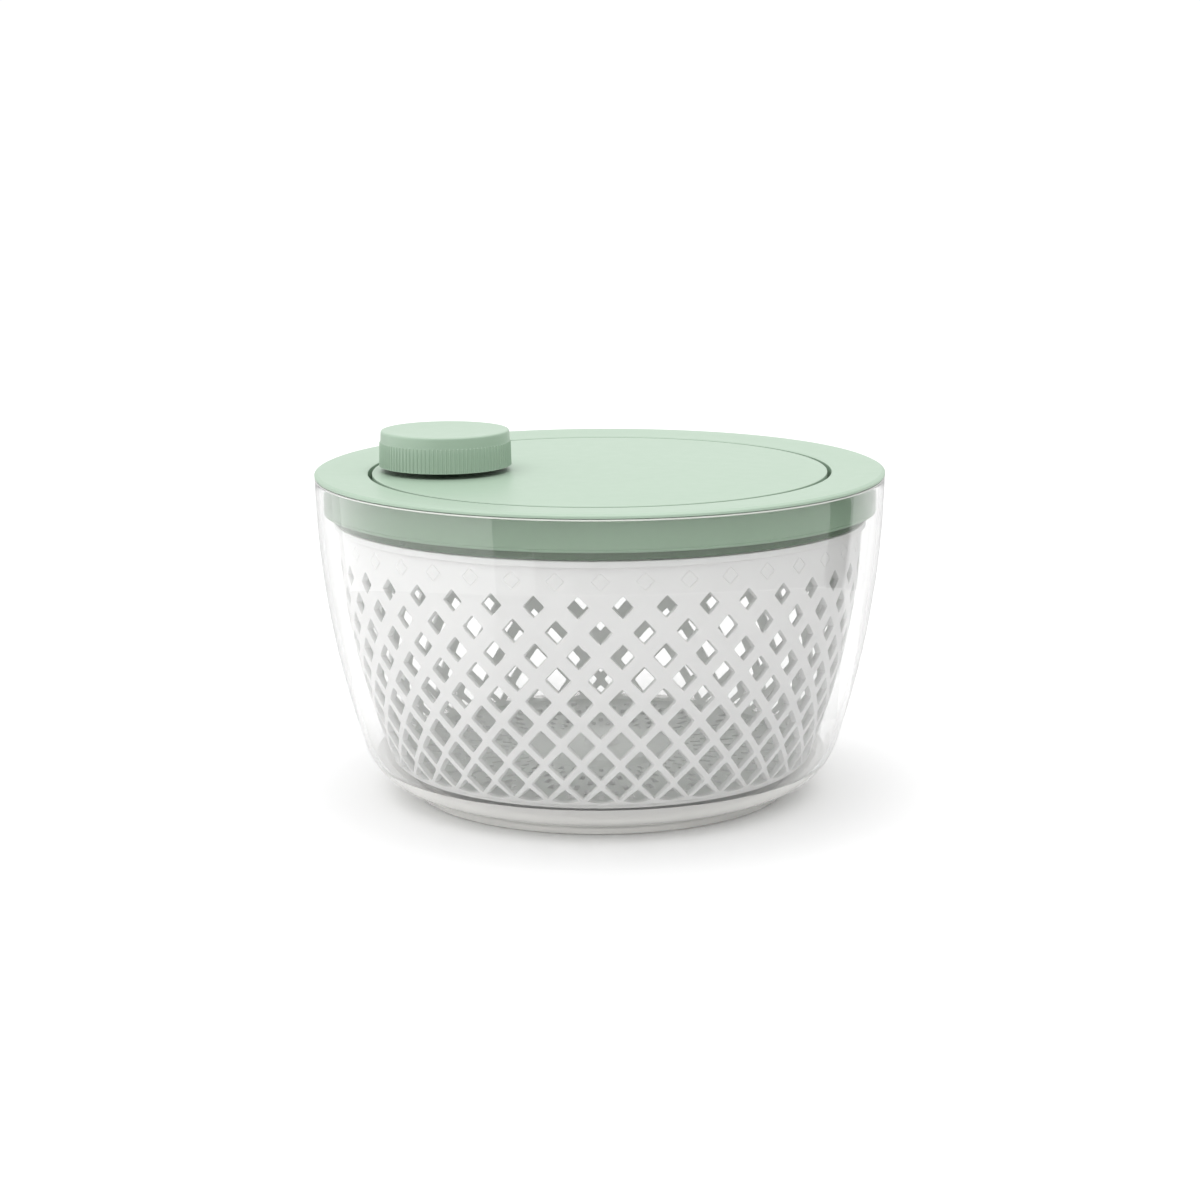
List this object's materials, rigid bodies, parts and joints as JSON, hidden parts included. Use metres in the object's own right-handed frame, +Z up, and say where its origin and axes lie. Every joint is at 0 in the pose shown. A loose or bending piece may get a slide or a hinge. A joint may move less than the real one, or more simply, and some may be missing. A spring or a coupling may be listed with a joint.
{
  "type": "salad spinner",
  "caption": "Salad spinner: clear round bowl, white lattice basket and a pale green flush lid whose turntable, worked by an off-centre knob, spins the basket through a planetary gear train",
  "frame": {"origin": "on the bowl's own axis, on the surface the foot ring stands on", "axes": "+Z is up; the knob stands on the turntable toward -X; -Y faces whoever uses it with the knob at their left"},
  "size_m": [0.25, 0.25, 0.1602],
  "materials": {
    "clear_plastic": "clear injection-moulded styrene, polished",
    "white_plastic": "white polypropylene, satin",
    "green_plastic": "pale green plastic, fine satin texture",
    "inner_green_plastic": "deeper green plastic, satin, seen through the bowl",
    "dark_green_plastic": "dark green plastic, satin",
    "acetal": "natural off-white acetal, smooth",
    "steel": "zinc-plated steel"
  },
  "bodies": {
    "bowl_body": {"bowl": "clear_plastic"},
    "lid_body": {"lid_cover": "green_plastic", "lid_housing": "inner_green_plastic", "glide_ring": "acetal", "shaft_bush": "acetal", "planet_pin_1": "steel", "planet_pin_2": "steel", "planet_pin_3": "steel", "lid_screw_1": "steel", "lid_screw_2": "steel", "lid_screw_3": "steel", "lid_screw_4": "steel", "lid_screw_5": "steel", "lid_screw_6": "steel"},
    "turntable_body": {"turntable": "green_plastic", "ring_gear": "acetal", "ring_screw_1": "steel", "ring_screw_2": "steel", "ring_screw_3": "steel", "ring_screw_4": "steel", "knob_axle": "steel", "knob_washer": "steel", "knob_screw": "steel"},
    "knob_body": {"knob_cap": "green_plastic", "knob_base": "dark_green_plastic"},
    "planet_body_1": {"planet_gear_1": "acetal"},
    "planet_body_2": {"planet_gear_2": "acetal"},
    "planet_body_3": {"planet_gear_3": "acetal"},
    "drive_body": {"sun_gear": "acetal", "drive_plate": "dark_green_plastic", "drive_screw": "steel"},
    "carrier_body": {"pivot_bush": "acetal"},
    "basket_body": {"basket": "white_plastic"}
  },
  "joints": [
    {"name": "lid_lift", "type": "slide", "parent": "bowl_body", "child": "lid_body", "axis": [0, 0, 1], "range_m": [0, 0.3]},
    {"name": "turntable_spin", "type": "hinge", "parent": "lid_body", "child": "turntable_body", "pos_m": [0, 0, 0.1413], "axis": [0, 0, 1], "continuous": true},
    {"name": "knob_spin", "type": "hinge", "parent": "turntable_body", "child": "knob_body", "pos_m": [-0.0678, 0, 0.148], "axis": [0, 0, 1], "continuous": true},
    {"name": "planet_spin_1", "type": "hinge", "parent": "lid_body", "child": "planet_body_1", "pos_m": [0, 0.036, 0.1341], "axis": [0, 0, 1], "continuous": true},
    {"name": "planet_spin_2", "type": "hinge", "parent": "lid_body", "child": "planet_body_2", "pos_m": [-0.03118, -0.018, 0.1341], "axis": [0, 0, 1], "continuous": true},
    {"name": "planet_spin_3", "type": "hinge", "parent": "lid_body", "child": "planet_body_3", "pos_m": [0.03118, -0.018, 0.1341], "axis": [0, 0, 1], "continuous": true},
    {"name": "drive_spin", "type": "hinge", "parent": "lid_body", "child": "drive_body", "pos_m": [0, 0, 0.13], "axis": [0, 0, 1], "continuous": true},
    {"name": "basket_lift", "type": "slide", "parent": "bowl_body", "child": "carrier_body", "axis": [0, 0, 1], "range_m": [0, 0.15]},
    {"name": "basket_spin", "type": "hinge", "parent": "carrier_body", "child": "basket_body", "pos_m": [0, 0, 0.0175], "axis": [0, 0, 1], "continuous": true}
  ],
  "couplings": [
    {"joint": "planet_spin_1", "follows": "turntable_spin", "ratio": 3},
    {"joint": "planet_spin_2", "follows": "turntable_spin", "ratio": 3},
    {"joint": "planet_spin_3", "follows": "turntable_spin", "ratio": 3},
    {"joint": "drive_spin", "follows": "turntable_spin", "ratio": -3},
    {"joint": "basket_spin", "follows": "turntable_spin", "ratio": -3},
    {"joint": "basket_lift", "follows": "lid_lift", "ratio": 0.5}
  ]
}
